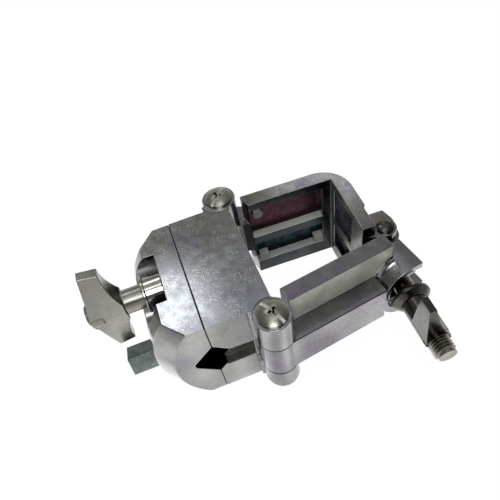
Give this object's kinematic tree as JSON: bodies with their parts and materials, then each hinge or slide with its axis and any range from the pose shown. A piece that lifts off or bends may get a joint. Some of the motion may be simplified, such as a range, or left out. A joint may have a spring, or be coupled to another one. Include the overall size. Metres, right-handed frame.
{
  "type": "rack tube to rod clamp",
  "caption": "Hinged chrome clamp that grips a square rack tube between an L-shaped jaw and a gate jaw closed by a swing bolt, and a rod under a bolted cap.",
  "frame": {"origin": "centre of the flat face of the main body that the square tube seats on", "axes": "+X out of that face towards the tube and along the longest extent, +Z along the tube and the hinge axes, gate jaw on the -Y side"},
  "size_m": [0.1109, 0.0834, 0.0531],
  "materials": {
    "chrome_casting": "polished chrome plate on a die casting",
    "satin_nickel": "satin nickel plate",
    "bright_nickel": "bright nickel plate",
    "zinc_steel": "plated steel"
  },
  "bodies": {
    "root": {"main_body": "chrome_casting", "front_hinge_screw": "bright_nickel", "back_hinge_screw": "bright_nickel"},
    "cap": {"clamp_cap": "chrome_casting", "wing_bolt_sleeve": "bright_nickel", "wing_bolt_washer": "bright_nickel", "key_bolt_washer": "zinc_steel"},
    "wing_bolt": {"wing_bolt_handle": "satin_nickel", "wing_bolt_stud": "zinc_steel"},
    "key_bolt": {"key_bolt": "zinc_steel"},
    "tube_jaw": {"tube_jaw": "chrome_casting", "swing_bolt_pin": "zinc_steel"},
    "swing_bolt": {"swing_bolt": "bright_nickel"},
    "nut_washer": {"nut_washer": "bright_nickel"},
    "wing_nut": {"wing_nut": "satin_nickel"},
    "gate_jaw": {"gate_jaw": "chrome_casting"}
  },
  "joints": [
    {"name": "wing_bolt_turn", "type": "hinge", "parent": "cap", "child": "wing_bolt", "pos_m": [-0.04, 0.0015, 0.0137], "axis": [-1, 0, 0], "range_deg": [0, 1800]},
    {"name": "cap_slide", "type": "slide", "parent": "root", "child": "cap", "axis": [-1, 0, 0], "range_m": [0, 0.005]},
    {"name": "key_bolt_turn", "type": "hinge", "parent": "cap", "child": "key_bolt", "pos_m": [-0.04, -0.003, -0.0141], "axis": [-1, 0, 0], "range_deg": [0, 1800]},
    {"name": "wing_nut_turn", "type": "hinge", "parent": "nut_washer", "child": "wing_nut", "pos_m": [0.04478, -0.0373, 0], "axis": [-0.0497, -0.9988, 0], "range_deg": [0, 2880]},
    {"name": "nut_travel", "type": "slide", "parent": "swing_bolt", "child": "nut_washer", "axis": [-0.0497, -0.9988, 0], "range_m": [0, 0.008]},
    {"name": "swing_bolt_swing", "type": "hinge", "parent": "tube_jaw", "child": "swing_bolt", "pos_m": [0.04627, -0.00733, 0], "axis": [0, 0, 1], "range_deg": [0, 120]},
    {"name": "tube_jaw_hinge", "type": "hinge", "parent": "root", "child": "tube_jaw", "pos_m": [-0.0018, 0.0266, 0], "axis": [0, 0, 1], "range_deg": [0, 2.85]},
    {"name": "gate_jaw_hinge", "type": "hinge", "parent": "root", "child": "gate_jaw", "pos_m": [-0.0018, -0.0266, 0], "axis": [0, 0, -1], "range_deg": [0, 7.8]}
  ],
  "couplings": [
    {"joint": "cap_slide", "follows": "wing_bolt_turn", "m_per_rad": 0.00015915},
    {"joint": "key_bolt_turn", "follows": "wing_bolt_turn", "ratio": 1},
    {"joint": "nut_travel", "follows": "wing_nut_turn", "m_per_rad": 0.00015915},
    {"joint": "tube_jaw_hinge", "follows": "wing_nut_turn", "ratio": 0.00098953},
    {"joint": "gate_jaw_hinge", "follows": "wing_nut_turn", "ratio": 0.0027083}
  ]
}
